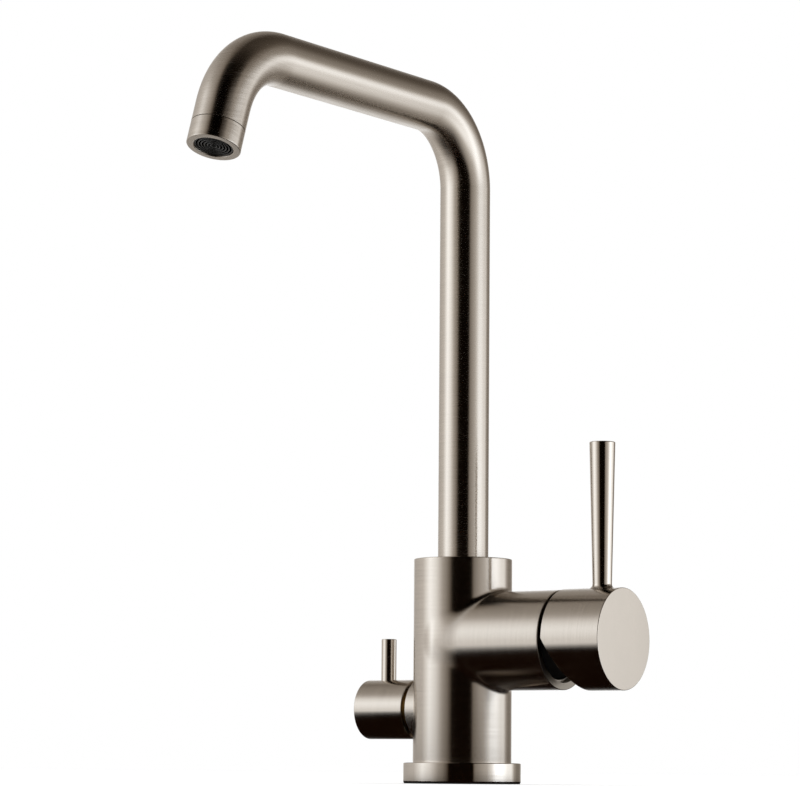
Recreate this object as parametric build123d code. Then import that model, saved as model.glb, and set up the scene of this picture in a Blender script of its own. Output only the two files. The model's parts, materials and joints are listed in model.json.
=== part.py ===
from build123d import *
import math
import os

# Kitchen mixer tap with a swivel spout, a side lever and a small appliance valve.
# Millimetres. The origin is the centre of the underside, which sits on the worktop.
# +Z is up, -Y is the way the spout points, +X is the lever side.

# Column, base ring and gasket
collar_height = 16.5
rim_chamfer = 0.4
base_reach = 4.7
base_height = 10.2
base_chamfer = 0.5
gasket_thickness = 0.6
gasket_inset = 0.4
foot_step = 4.3
fitted_gap = 0.1

# Branch that holds the mixing cartridge
branch_height = 69.6
branch_step = 0.1
branch_wall = 3.5
branch_blend = 4.5
chamber_web = 7.9
mouth_recess = 2.78

# Spout tube
tube_radius = 12.5
tube_wall = 1.5
arm_height = 332.5
reach = 206.3
rising_bend = 37.2
outlet_bend = 41.8
outlet_angle = 71.5
outlet_length = 21.2
collar_length = 10.2
collar_seam = 0.25
outlet_thread = 8.0

# Spout foot, its seals and its turning stop
swivel_gap = 0.1
glide_gap = 0.06
shoulder_wall = 1.7
well_depth = 11.5
glide_wall = 2.0
glide_depth = 6.0
thrust_thickness = 1.5
foot_length = 22.0
foot_wall = 2.9
spigot_length = 10.0
seal_width = 3.0
seal_depth = 1.9
seal_heights = (3.0, 8.5)
seal_play = 0.06
swivel_limit = 60.0
stop_height = 15.0
stop_tip_radius = 1.8
stop_tip_gap = 0.6
stop_groove_depth = 2.2
stop_screw_radius = 2.5
stop_play = 0.3

# Aerator in the outlet
collar_wall = 1.8
aerator_depth = 6.0
aerator_recess = 0.6
aerator_rings = 4
aerator_slot = 0.9
screen_thickness = 2.4
screen_hole_radius = 1.6
screen_circle = 10.0
screen_holes = 6
outer_seal_width = 2.0
outlet_seal_thickness = 1.6

# Connections in the underside
socket_circle = 20.0
hose_socket_radius = 4.46
stud_hole_radius = 3.32
stud_hole_depth = 16.0
stud_turn = 135
hot_socket_depth = 12.0
cold_socket_depth = 13.0
appliance_socket_depth = 14.0
waterway_radius = 2.6
outlet_way_radius = 3.4

# Mixing cartridge
cartridge_radius = 20.0
cartridge_gap = 0.7
base_thickness = 6.0
fixed_disc_thickness = 3.5
moving_disc_thickness = 3.0
disc_film = 0.02
housing_wall = 2.8
housing_cap = 2.5
foot_rise = 6.5
foot_nose = 3.5
foot_reach = 12.5
foot_play = 0.15
stem_neck = 2.3
carrier_lip = 2.2
carrier_half_width = 10.0
guide_play = 0.15
guide_wall = 2.4
rotor_gap = 0.6
rotor_flange = 3.2
rotor_neck_radius = 11.5
rotor_neck_reach = 9.0
bearing_gap = 0.2
tilt_limit = 25.0
shank_side = 8.0
shank_play = 0.15
pivot_pin_radius = 1.5
pivot_play = 0.06
port_radius = 2.6
port_side = 5.5
port_rise = 7.3
outlet_port_drop = 6.2
port_seal_wall = 1.1
port_seal_depth = 1.5
nut_length = 7.3
nut_wall = 4.6
nut_notches = 4
nut_notch_width = 3.0
nut_notch_depth = 2.3
cover_wall = 1.6
cover_play = 0.8

# Knob and lever
knob_gap = 2.0
knob_step = 0.4
knob_length = 31.9
knob_wall = 3.8
knob_front_wall = 6.0
knob_chamfer = 0.35
relief_margin = 2.9
cover_clearance = 1.2
boss_radius = 8.5
boss_clearance = 3.9
socket_play = 0.05
socket_relief = 0.5
lever_setback = 12.1
lever_length = 70.6
lever_tip_radius = 6.3
lever_base_radius = 4.7
lever_flare = 1.5
lever_chamfer = 0.5
lever_thread_radius = 3.0
lever_boss_radius = 5.5
thread_gap = 0.05
grub_length = 6.0
grub_key_width = 2.9

# Appliance shut-off valve
valve_height = 36.5
valve_radius = 14.7
valve_stub_reach = 0.3
valve_wall = 4.2
valve_seal_width = 2.4
valve_depth = 15.6
valve_seal_thickness = 2.0
valve_disc_thickness = 3.0
valve_disc_radius = 7.3
valve_cage_wall = 1.3
valve_cage_gap = 0.4
valve_windows = 2
valve_window_width = 7.4
spindle_flange = 2.2
spindle_radius = 4.0
spindle_play = 0.05
headwork_proud = 1.4
headwork_neck = 8.0
headwork_neck_wall = 3.0
spindle_square = 5.6
clip_thickness = 0.9
clip_reach = 1.8
clip_groove = 1.0
valve_knob_gap = 2.1
valve_knob_length = 28.6
valve_knob_wall = 3.4
valve_knob_cavity = 10.5
valve_knob_chamfer = 0.6
valve_lever_setback = 11.2
valve_lever_radius = 3.76
valve_lever_length = 20.4
valve_lever_thread = 2.5
valve_lever_chamfer = 0.35

# Radii of the body, which follow from the cartridge that it holds
chamber_radius = cartridge_radius + cartridge_gap
branch_radius = chamber_radius + branch_wall
column_radius = branch_radius + branch_step
base_radius = column_radius + base_reach
foot_radius = column_radius - foot_step
column_top = branch_height + branch_radius + collar_height

# Tube and its foot
tube_bore = tube_radius - tube_wall
spigot_radius = tube_bore - fitted_gap
aerator_radius = tube_bore - collar_wall
socket_radius = tube_radius + swivel_gap
well_radius = socket_radius - seal_width
glide_radius = tube_radius + glide_wall
outlet_way_height = branch_height - outlet_port_drop
shoulder_height = outlet_way_height + outlet_way_radius + shoulder_wall
foot_bottom = shoulder_height + thrust_thickness + disc_film
foot_top = foot_bottom + foot_length
stop_middle = foot_bottom + stop_height

# Distances along the branch, from the column's axis outwards
chamber_floor = socket_radius + chamber_web
riser_place = socket_radius + chamber_web / 2
base_top = chamber_floor + base_thickness
fixed_disc_top = base_top + fixed_disc_thickness
moving_disc_base = fixed_disc_top + disc_film
carrier_base = moving_disc_base + moving_disc_thickness
foot_place = carrier_base + foot_rise
carrier_top = foot_place + carrier_lip
pivot_place = foot_place + foot_reach
rotor_base = carrier_top + rotor_gap
rotor_flange_top = rotor_base + rotor_flange
rotor_end = pivot_place + rotor_neck_reach
cap_base = rotor_flange_top + bearing_gap
housing_end = cap_base + housing_cap
nut_end = housing_end + nut_length
branch_length = nut_end + mouth_recess

# Cartridge radii and the stroke of its discs
housing_bore = cartridge_radius - housing_wall
rotor_radius = housing_bore - 2 * bearing_gap
tilt = math.radians(tilt_limit)
disc_travel = foot_reach * math.sin(tilt)
moving_disc_radius = housing_bore - disc_travel / 2 - 3 * bearing_gap
carrier_radius = moving_disc_radius - 3 * bearing_gap

# Knob and lever
knob_radius = branch_radius + knob_step
knob_back = branch_length + knob_gap
knob_end = knob_back + knob_length
knob_floor = knob_end - knob_front_wall
knob_bore = knob_radius - knob_wall
lever_place = knob_end - lever_setback
lever_top = branch_height + knob_radius + lever_length
stem_end = lever_place + lever_thread_radius + 1
cover_radius = knob_bore - cover_clearance
boss_start = pivot_place + cover_radius + boss_clearance
stem_sweep = shank_side / 2 * math.cos(tilt) + cover_radius * math.sin(tilt)
cover_hole = math.hypot(shank_side / 2, stem_sweep) + cover_play

# Distances along the valve, from the column's axis outwards
valve_stub_end = column_radius + valve_stub_reach
valve_floor = valve_stub_end - valve_depth
headwork_radius = valve_radius - valve_wall
cage_bore = valve_disc_radius + valve_cage_gap
cage_radius = cage_bore + valve_cage_wall
valve_seat = valve_floor + valve_seal_thickness
valve_disc_base = valve_seat + valve_disc_thickness + disc_film
spindle_base = valve_disc_base + valve_disc_thickness
cage_end = spindle_base + spindle_flange + bearing_gap
headwork_end = valve_stub_end + headwork_proud
neck_end = headwork_end + headwork_neck
clip_place = neck_end + bearing_gap
square_start = clip_place + 2 * clip_thickness
valve_knob_back = valve_stub_end + valve_knob_gap
valve_knob_floor = valve_knob_back + valve_knob_cavity
valve_knob_end = valve_knob_back + valve_knob_length
valve_lever_place = valve_knob_end - valve_lever_setback
valve_lever_top = valve_height + valve_radius + valve_lever_length
spindle_end = valve_lever_place + valve_lever_thread + bearing_gap


def turned(*outline):
    """A piece turned about Z from corners of (radius, height)."""
    line = Polyline(*[(radius, 0, height) for radius, height in outline], close=True)
    return revolve(make_face(line), Axis.Z)


def ring(inner, outer, low, high):
    return turned((inner, low), (outer, low), (outer, high), (inner, high))


def rod(radius, low, high):
    return turned((0, low), (radius, low), (radius, high), (0, high))


def on_branch(piece):
    """Lay a piece made about Z along the branch, so its height is the distance in +X."""
    return Pos(0, 0, branch_height) * (Rot(0, 90, 0) * piece)


def on_valve(piece):
    """Lay a piece made about Z along the valve, so its height is the distance in -X."""
    return Pos(0, 0, valve_height) * (Rot(0, -90, 0) * piece)


def block(x_low, x_high, y_low, y_high, z_low, z_high):
    centre = Pos((x_low + x_high) / 2, (y_low + y_high) / 2, (z_low + z_high) / 2)
    return centre * Box(x_high - x_low, y_high - y_low, z_high - z_low)


def bar_between(start, end, radius):
    """A drilled passage, run on a little at both ends so that it meets the next one."""
    line = Vector(*end) - Vector(*start)
    overrun = radius / 2
    return Plane(origin=start, z_dir=line) * rod(radius, -overrun, line.length + overrun)


def waterway(points, radius):
    cut = bar_between(points[0], points[1], radius)
    for start, end in zip(points[1:-1], points[2:]):
        cut += bar_between(start, end, radius)
    return cut


def socket_centre(turn):
    return Rot(0, 0, turn) * Pos(socket_circle / 2, 0, 0)


# Base


def make_base_ring():
    inner = foot_radius + fitted_gap
    return turned(
        (inner, gasket_thickness),
        (base_radius, gasket_thickness),
        (base_radius, base_height - base_chamfer),
        (base_radius - base_chamfer, base_height),
        (inner, base_height),
    )


def make_base_gasket():
    return ring(foot_radius + fitted_gap, base_radius - gasket_inset, 0, gasket_thickness)


def make_body():
    column = rod(column_radius, base_height, column_top)
    column = chamfer(column.edges().group_by(Axis.Z)[-1], rim_chamfer)
    branch = on_branch(rod(branch_radius, 0, branch_length))
    body = column + branch
    body = fillet(new_edges(column, branch, combined=body), branch_blend)
    body += on_valve(rod(valve_radius, 0, valve_stub_end))
    body += rod(foot_radius, 0, base_height + foot_step)
    body -= spout_bore()
    body -= cartridge_chamber()
    body -= valve_chamber()
    body -= underside_sockets()
    body -= hot_and_cold_ways()
    body -= valve_ways()
    return body


def spout_bore():
    cut = rod(socket_radius, shoulder_height, column_top + 1)
    cut += rod(well_radius, shoulder_height - well_depth, shoulder_height + 1)
    cut += rod(glide_radius + glide_gap, column_top - glide_depth, column_top + 1)
    tapped = rod(stop_screw_radius + thread_gap, socket_radius / 2, column_radius + 1)
    return cut + Pos(0, 0, stop_middle) * (Rot(-90, 0, 0) * tapped)


def cartridge_chamber():
    cut = on_branch(rod(chamber_radius, chamber_floor, branch_length + 1))
    start = (well_radius / 2, 0, outlet_way_height)
    end = (chamber_floor, 0, outlet_way_height)
    return cut + bar_between(start, end, outlet_way_radius)


def valve_chamber():
    cut = rod(headwork_radius + thread_gap, valve_floor, valve_stub_end + 1)
    return on_valve(cut)


def underside_sockets():
    cut = socket_centre(stud_turn) * rod(stud_hole_radius, -1, stud_hole_depth)
    hoses = {-45: hot_socket_depth, 45: cold_socket_depth, 225: appliance_socket_depth}
    for turn, depth in hoses.items():
        cut += socket_centre(turn) * rod(hose_socket_radius, -1, depth)
    return cut


def hot_and_cold_ways():
    side = socket_circle / 2 * math.sqrt(0.5)
    port_height = branch_height + port_rise
    bend = branch_height - branch_radius + waterway_radius
    ways = Part()
    for hand, depth in ((-1, hot_socket_depth), (1, cold_socket_depth)):
        ways += waterway(
            [
                (side, hand * side, depth),
                (riser_place, hand * port_side, bend),
                (riser_place, hand * port_side, port_height),
                (chamber_floor, hand * port_side, port_height),
            ],
            waterway_radius,
        )
    return ways


def valve_ways():
    """The cold feed to the valve seat, and the way down to the appliance socket."""
    side = socket_circle / 2 * math.sqrt(0.5)
    feed = waterway(
        [
            (side, side, cold_socket_depth),
            (0, 0, valve_height),
            (-valve_floor, 0, valve_height),
        ],
        waterway_radius,
    )
    drain_end = (-(valve_seat + valve_disc_thickness), -side / 2, valve_height - cage_radius)
    drain_start = (-side, -side, appliance_socket_depth)
    return feed + waterway([drain_start, drain_end], waterway_radius)


# Spout


def outlet_frame():
    """Plane at the open end of the outlet, with its Z pointing back up the tube."""
    angle = math.radians(outlet_angle)
    run = outlet_bend * math.tan(angle / 2) + outlet_length
    corner = Vector(0, -(reach - run * math.cos(angle)), arm_height)
    up_tube = Vector(0, math.cos(angle), math.sin(angle))
    return corner, Plane(origin=corner - up_tube * run, x_dir=(1, 0, 0), z_dir=up_tube)


def spout_path():
    corner, end = outlet_frame()
    start = Vector(0, 0, foot_top)
    stop = end.origin + end.z_dir * (collar_length + collar_seam)
    points = [start, Vector(0, 0, arm_height), corner, stop]
    return FilletPolyline(*points, radius=[rising_bend, outlet_bend])


def make_spout_tube():
    path = spout_path()
    start = Plane(origin=(0, 0, foot_top))
    outside = sweep(start * Circle(tube_radius), path=path)
    inside = sweep(start * Circle(tube_bore), path=path)
    return outside - inside


def make_spout_foot():
    foot_bore = spigot_radius - foot_wall
    body = turned(
        (foot_bore, foot_bottom),
        (tube_radius, foot_bottom),
        (tube_radius, foot_top),
        (spigot_radius, foot_top),
        (spigot_radius, foot_top + spigot_length),
        (foot_bore, foot_top + spigot_length),
    )
    for height in seal_heights:
        low = foot_bottom + height
        body -= ring(tube_radius - seal_depth, tube_radius + 1, low, low + seal_width)
    return body - stop_groove()


def stop_groove():
    """The groove that the stop screw runs in, as long as the spout may swing."""
    floor = tube_radius - stop_groove_depth
    half_height = stop_tip_radius + stop_play
    tip_turn = math.degrees(math.asin(stop_tip_radius / floor))
    span = swivel_limit + tip_turn + stop_play
    low, high = stop_middle - half_height, stop_middle + half_height
    outer = tube_radius + 1
    corners = [(floor, 0, low), (outer, 0, low), (outer, 0, high), (floor, 0, high)]
    sector = revolve(make_face(Polyline(*corners, close=True)), Axis.Z, 2 * span)
    return Rot(0, 0, 90 - span) * sector


def make_stop_screw():
    low = tube_radius - stop_groove_depth + stop_tip_gap
    shoulder = socket_radius + rim_chamfer
    end = column_radius - base_chamfer
    key_depth = stop_screw_radius
    screw = turned(
        (0, low),
        (stop_tip_radius, low),
        (stop_tip_radius, shoulder),
        (stop_screw_radius, shoulder + stop_screw_radius - stop_tip_radius),
        (stop_screw_radius, end),
        (0, end),
    )
    key = extrude(RegularPolygon(stop_screw_radius / 2, 6), key_depth)
    screw -= Pos(0, 0, end - key_depth) * key
    return Pos(0, 0, stop_middle) * (Rot(-90, 0, 0) * screw)


def make_spout_seals():
    """Two square-section seals in the grooves of the spout foot."""
    inner, outer = tube_radius - seal_depth + seal_play, tube_radius + seal_play / 2
    seals = Part()
    for height in seal_heights:
        low = foot_bottom + height + seal_play
        seals += ring(inner, outer, low, low + seal_width - 2 * seal_play)
    return seals


def make_glide_ring():
    return ring(tube_radius + glide_gap, glide_radius, column_top - glide_depth, column_top)


def make_thrust_ring():
    high = shoulder_height + thrust_thickness
    return ring(well_radius, socket_radius - swivel_gap, shoulder_height, high)


# Aerator


def make_aerator_collar():
    top = collar_length + outlet_thread
    body = turned(
        (aerator_radius, 0),
        (tube_radius - rim_chamfer, 0),
        (tube_radius, rim_chamfer),
        (tube_radius, collar_length),
        (spigot_radius, collar_length),
        (spigot_radius, top),
        (aerator_radius, top),
    )
    return outlet_frame()[1] * body


def make_aerator_insert():
    """The soft black outlet insert, with open ring slots held by one rib."""
    outer = aerator_radius - fitted_gap
    low, high = aerator_recess, aerator_recess + aerator_depth - fitted_gap
    body = rod(outer, low, high)
    pitch = outer / (aerator_rings + 1)
    slots = Part()
    for count in range(1, aerator_rings + 1):
        middle = pitch * count
        half = aerator_slot / 2
        slots += ring(middle - half, middle + half, low - 1, high + 1)
    slots -= Box(2 * outer, aerator_slot * 2, 4 * high)
    return outlet_frame()[1] * (body - slots)


def screen_base():
    return aerator_recess + aerator_depth + fitted_gap


def make_aerator_screen():
    """The pierced plate behind the insert that breaks up the stream."""
    low, high = screen_base(), screen_base() + screen_thickness
    plate = rod(aerator_radius - fitted_gap, low, high)
    drill = rod(screen_hole_radius, low - 1, high + 1)
    return outlet_frame()[1] * (plate - PolarLocations(screen_circle / 2, screen_holes) * drill)


def make_aerator_seal():
    low = screen_base() + screen_thickness + fitted_gap
    outer = aerator_radius - fitted_gap
    seal = ring(outer - outer_seal_width, outer, low, low + outlet_seal_thickness)
    return outlet_frame()[1] * seal


# Mixing cartridge


def port_centres():
    """Where water passes the discs, as (height above the branch axis, side)."""
    return [(port_rise, port_side), (port_rise, -port_side), (-outlet_port_drop, 0)]


def port_bars(radius, low, high):
    """Bars along the cartridge at its two inlets and its outlet."""
    bars = Part()
    for rise, side in port_centres():
        bars += Pos(-rise, side, 0) * rod(radius, low, high)
    return bars


def make_cartridge_base():
    low = chamber_floor
    body = rod(cartridge_radius, low, base_top)
    grooves = port_bars(port_radius + port_seal_wall, low - 1, low + port_seal_depth)
    return on_branch(body - port_bars(port_radius, low - 1, base_top + 1) - grooves)


def make_port_seals():
    """Three rubber rings, one round each port in the underside of the base."""
    low = chamber_floor + disc_film
    high = chamber_floor + port_seal_depth - disc_film
    outer = port_radius + port_seal_wall - thread_gap
    seals = port_bars(outer, low, high) - port_bars(port_radius + thread_gap, low - 1, high + 1)
    return on_branch(seals)


def make_fixed_disc():
    disc = rod(housing_bore - 2 * fitted_gap, base_top, fixed_disc_top)
    return on_branch(disc - port_bars(port_radius, base_top - 1, fixed_disc_top + 1))


def make_moving_disc():
    """The ceramic disc whose recess joins the inlets to the outlet when it slides up."""
    centre = disc_travel / 2
    body = Pos(centre, 0, 0) * rod(moving_disc_radius, moving_disc_base, carrier_base)
    low, high = moving_disc_base - 1, moving_disc_base + moving_disc_thickness / 2
    recess_top = port_rise - port_radius - 3 * bearing_gap
    recess_bottom = recess_top - 2 * port_side - disc_travel / 2
    half_width = port_side + port_radius
    recess = block(-recess_top, -recess_bottom, -half_width, half_width, low, high)
    recess = fillet(recess.edges().filter_by(Axis.Z), port_radius)
    return on_branch(body - recess)


def make_disc_carrier():
    """The slide that the stem's foot pushes, with a square socket for the foot."""
    centre = disc_travel / 2
    body = Pos(centre, 0, 0) * rod(carrier_radius, carrier_base, carrier_top)
    span = 2 * carrier_radius
    body &= block(-span, span, -carrier_half_width, carrier_half_width, 0, carrier_top)
    floor = foot_place - foot_nose - foot_play
    half = foot_nose + foot_play
    return on_branch(body - block(-half, half, -half, half, floor, carrier_top + 1))


def make_rotor():
    """The turning sleeve: flange, neck, slot for the stem and guides for the carrier."""
    body = turned(
        (0, rotor_base),
        (rotor_radius, rotor_base),
        (rotor_radius, rotor_flange_top),
        (rotor_neck_radius, rotor_flange_top),
        (rotor_neck_radius, rotor_end),
        (0, rotor_end),
    )
    inner_side = carrier_half_width + guide_play
    low = carrier_base + rotor_gap
    for hand in (-1, 1):
        side = sorted((hand * inner_side, hand * (inner_side + guide_wall)))
        length = carrier_half_width
        body += block(-length, length, side[0], side[1], low, rotor_base + rotor_flange / 2)
    body &= rod(rotor_radius, low - 1, rotor_end + 1)
    half_slot = shank_side / 2 + shank_play
    half_shank = shank_side / 2 / math.cos(tilt)
    rise = (pivot_place - rotor_base) * math.tan(tilt) + half_shank
    drop = (rotor_end - pivot_place) * math.tan(tilt) + half_shank + 2 * bearing_gap
    body -= block(-rise, drop, -half_slot, half_slot, low - 1, rotor_end + 1)
    body -= pivot_bar(pivot_pin_radius + thread_gap, rotor_neck_radius + 1)
    return on_branch(body)


def pivot_bar(radius, half_length):
    bar = Rot(90, 0, 0) * rod(radius, -half_length, half_length)
    return Pos(0, 0, pivot_place) * bar


def make_pivot_pin():
    return on_branch(pivot_bar(pivot_pin_radius, rotor_neck_radius - 2 * rim_chamfer))


def make_housing():
    """The plastic cup that holds the discs and the rotor together."""
    body = turned(
        (housing_bore, base_top),
        (cartridge_radius, base_top),
        (cartridge_radius, housing_end),
        (rotor_neck_radius + bearing_gap, housing_end),
        (rotor_neck_radius + bearing_gap, cap_base),
        (housing_bore, cap_base),
    )
    return on_branch(body)


def make_cartridge_nut():
    """The ring nut that clamps the cartridge, with notches for its spanner."""
    outer = chamber_radius - thread_gap * 2
    inner = outer - nut_wall
    body = ring(inner, outer, housing_end, nut_end)
    half = nut_notch_width / 2
    notch = block(0, inner + nut_wall / 2, -half, half, nut_end - nut_notch_depth, nut_end + 1)
    body -= PolarLocations(0, nut_notches) * notch
    return on_branch(body)


def make_cartridge_cover():
    """The tapered collar under the knob, inside a ball round the point that the knob tilts on."""
    seat = nut_end + disc_film
    seat_radius = math.sqrt(cover_radius**2 - (seat - pivot_place) ** 2)
    top = pivot_place + math.sqrt(cover_radius**2 - cover_hole**2)
    cover = turned(
        (seat_radius - cover_wall, seat),
        (seat_radius, seat),
        (cover_hole, top),
        (cover_hole, top - 1.5 * cover_wall),
    )
    return on_branch(cover)


def make_stem():
    """Lever stem: a round-nosed foot that drives the discs, a neck, and a square shank."""
    neck_top = pivot_place - shank_side * 0.75
    half = shank_side / 2
    foot = Rot(90, 0, 0) * rod(foot_nose, -foot_nose, foot_nose)
    stem = Pos(0, 0, foot_place) * foot
    stem += rod(stem_neck, foot_place, neck_top + 1)
    stem += block(-half, half, -half, half, neck_top, stem_end)
    return on_branch(stem - pivot_bar(pivot_pin_radius + pivot_play, shank_side))


# Knob and lever


def make_knob():
    body = turned(
        (knob_bore, knob_back),
        (knob_radius - knob_chamfer, knob_back),
        (knob_radius, knob_back + knob_chamfer),
        (knob_radius, knob_end - knob_chamfer),
        (knob_radius - knob_chamfer, knob_end),
        (0, knob_end),
        (0, knob_floor),
        (knob_bore, knob_floor),
    )
    body += rod(boss_radius, boss_start, knob_floor + 1)
    upright = Rot(0, -90, 0) * rod(lever_boss_radius, 0, knob_bore + knob_wall / 2)
    body += Pos(0, 0, lever_place) * upright
    half = shank_side / 2 + socket_play
    body -= block(-half, half, -half, half, pivot_place, stem_end + socket_relief)
    tapped = Rot(0, -90, 0) * rod(lever_thread_radius, 0, knob_radius + 1)
    body -= Pos(0, 0, lever_place) * tapped
    return on_branch(body) - knob_relief()


def knob_relief():
    """The wedge behind the lower half of the knob, which makes room for the tilt."""
    drop = knob_radius + 1
    run = drop * math.tan(math.radians(tilt_limit + relief_margin))
    corners = [
        (knob_back - knob_gap, 0, branch_height),
        (knob_back, 0, branch_height),
        (knob_back + run, 0, branch_height - drop),
        (knob_back - knob_gap, 0, branch_height - drop),
    ]
    wedge = make_face(Polyline(*corners, close=True))
    return extrude(wedge, knob_radius + 1, both=True)


def make_lever():
    """Slim conical lever, thicker at its tip, flared where it meets the knob."""
    seat = branch_height + knob_radius
    low = seat - lever_flare * 1.5
    flare_top = seat + lever_flare
    lever = turned(
        (0, low),
        (lever_base_radius + lever_flare, low),
        (lever_base_radius + lever_flare, seat),
        (lever_base_radius, flare_top),
        (lever_tip_radius, lever_top - lever_chamfer),
        (lever_tip_radius - lever_chamfer, lever_top),
        (0, lever_top),
    )
    lever = Pos(lever_place, 0, 0) * lever
    lever -= on_branch(rod(knob_radius + disc_film, 0, knob_end + 1))
    shank_low = branch_height + shank_side / 2 + grub_length + 1
    shank = rod(lever_thread_radius - thread_gap, shank_low, seat + lever_flare)
    return lever + Pos(lever_place, 0, 0) * shank


def make_grub_screw():
    low = branch_height + shank_side / 2 + disc_film
    screw = rod(lever_thread_radius - thread_gap, low, low + grub_length)
    key = extrude(RegularPolygon(grub_key_width / 2, 6), grub_length / 2)
    return Pos(lever_place, 0, 0) * (screw - Pos(0, 0, low + grub_length / 2) * key)


# Appliance shut-off valve


def make_valve_seal():
    outer = valve_disc_radius
    return on_valve(ring(outer - valve_seal_width, outer, valve_floor, valve_seat))


def half_port(low, high):
    """A half-moon port through a valve disc."""
    port = rod(valve_disc_radius * 0.7, low, high)
    return port - block(-valve_radius, 0.5, -valve_radius, valve_radius, low - 1, high + 1)


def make_valve_fixed_disc():
    high = valve_seat + valve_disc_thickness
    disc = rod(valve_disc_radius, valve_seat, high)
    return on_valve(disc - half_port(valve_seat - 1, high + 1))


def make_valve_moving_disc():
    disc = rod(valve_disc_radius, valve_disc_base, spindle_base)
    port = Rot(0, 0, 180) * half_port(valve_disc_base - 1, spindle_base + 1)
    return on_valve(disc - port)


def make_valve_headwork():
    """Brass insert: a windowed cage round the discs, a thread and a neck for the spindle."""
    bore = spindle_radius + spindle_play
    neck = bore + headwork_neck_wall
    body = turned(
        (cage_bore, valve_floor + disc_film),
        (cage_radius, valve_floor + disc_film),
        (cage_radius, cage_end),
        (headwork_radius, cage_end),
        (headwork_radius, headwork_end),
        (neck, headwork_end),
        (neck, neck_end),
        (bore, neck_end),
        (bore, cage_end),
        (cage_bore, cage_end),
    )
    low = valve_disc_base + disc_film
    half = valve_window_width / 2
    window = block(0, cage_radius + 1, -half, half, low, spindle_base)
    return on_valve(body - PolarLocations(0, valve_windows) * window)


def make_valve_spindle():
    flange = valve_disc_radius - fitted_gap
    shaft = turned(
        (0, spindle_base),
        (flange, spindle_base),
        (flange, spindle_base + spindle_flange),
        (spindle_radius, spindle_base + spindle_flange),
        (spindle_radius, square_start),
        (0, square_start),
    )
    high = clip_place + clip_thickness + bearing_gap
    shaft -= ring(spindle_radius - clip_groove, spindle_radius + 1, clip_place, high)
    half = spindle_square / 2
    square = block(-half, half, -half, half, square_start - 0.5, spindle_end)
    return on_valve(shaft + square)


def make_spindle_clip():
    """Open spring ring that keeps the spindle in its neck."""
    low = clip_place + bearing_gap / 2
    inner = spindle_radius - clip_groove + thread_gap
    clip = ring(inner, spindle_radius + clip_reach, low, low + clip_thickness)
    mouth = block(0, valve_radius, -inner * 0.7, inner * 0.7, low - clip_thickness, low + 2 * clip_thickness)
    return on_valve(clip - mouth)


def make_valve_knob():
    edge = valve_knob_chamfer
    body = turned(
        (valve_radius - valve_knob_wall, valve_knob_back),
        (valve_radius, valve_knob_back),
        (valve_radius, valve_knob_end - edge),
        (valve_radius - edge, valve_knob_end),
        (0, valve_knob_end),
        (0, valve_knob_floor),
        (valve_radius - valve_knob_wall, valve_knob_floor),
    )
    half = spindle_square / 2 + socket_play
    body -= block(-half, half, -half, half, valve_knob_floor - 1, spindle_end + socket_relief)
    tapped = Rot(0, 90, 0) * rod(valve_lever_thread, 0, valve_radius + 1)
    return on_valve(body - Pos(0, 0, valve_lever_place) * tapped)


def make_valve_lever():
    """Small straight pin that turns the valve and locks its knob to the spindle."""
    seat = valve_height + valve_radius
    edge = valve_lever_chamfer
    pin = turned(
        (0, seat - valve_lever_radius),
        (valve_lever_radius, seat - valve_lever_radius),
        (valve_lever_radius, valve_lever_top - edge),
        (valve_lever_radius - edge, valve_lever_top),
        (0, valve_lever_top),
    )
    pin = Pos(-valve_lever_place, 0, 0) * pin
    pin -= on_valve(rod(valve_radius + disc_film, 0, valve_knob_end + 1))
    low = valve_height + spindle_square / 2 + disc_film
    thread = rod(valve_lever_thread - thread_gap, low, seat + valve_lever_chamfer)
    return pin + Pos(-valve_lever_place, 0, 0) * thread


pieces = {
    "base_ring": make_base_ring(),
    "base_gasket": make_base_gasket(),
    "body_casting": make_body(),
    "spout_glide_ring": make_glide_ring(),
    "spout_thrust_ring": make_thrust_ring(),
    "spout_stop_screw": make_stop_screw(),
    "spout_tube": make_spout_tube(),
    "spout_foot": make_spout_foot(),
    "spout_seals": make_spout_seals(),
    "aerator_collar": make_aerator_collar(),
    "aerator_insert": make_aerator_insert(),
    "aerator_screen": make_aerator_screen(),
    "aerator_seal": make_aerator_seal(),
    "cartridge_base": make_cartridge_base(),
    "cartridge_port_seals": make_port_seals(),
    "fixed_ceramic_disc": make_fixed_disc(),
    "moving_ceramic_disc": make_moving_disc(),
    "disc_carrier": make_disc_carrier(),
    "cartridge_rotor": make_rotor(),
    "stem_pivot_pin": make_pivot_pin(),
    "cartridge_housing": make_housing(),
    "cartridge_nut": make_cartridge_nut(),
    "cartridge_cover": make_cartridge_cover(),
    "lever_stem": make_stem(),
    "lever_knob": make_knob(),
    "lever_pin": make_lever(),
    "knob_grub_screw": make_grub_screw(),
    "valve_seat_seal": make_valve_seal(),
    "valve_fixed_disc": make_valve_fixed_disc(),
    "valve_moving_disc": make_valve_moving_disc(),
    "valve_headwork": make_valve_headwork(),
    "valve_spindle": make_valve_spindle(),
    "valve_spindle_clip": make_spindle_clip(),
    "valve_knob": make_valve_knob(),
    "valve_lever_pin": make_valve_lever(),
}

os.makedirs("parts", exist_ok=True)
for name, piece in pieces.items():
    export_step(piece, "parts/" + name + ".step")

print("pieces", len(pieces))
print("disc travel", round(disc_travel, 3), "per radian of tilt", round(disc_travel / tilt, 3))
print("pivot", round(pivot_place, 2), "outlet", outlet_frame()[1].origin)
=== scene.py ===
# %% [markdown]
# A kitchen mixer tap, cast and turned in brass and finished in satin brushed nickel.
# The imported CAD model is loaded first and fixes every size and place: each cell below only
# dresses it. Lengths are in metres, +Z is up and the spout points along -Y.

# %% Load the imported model
import json
import math
import bmesh
import bpy
from mathutils import Matrix, Vector


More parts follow.
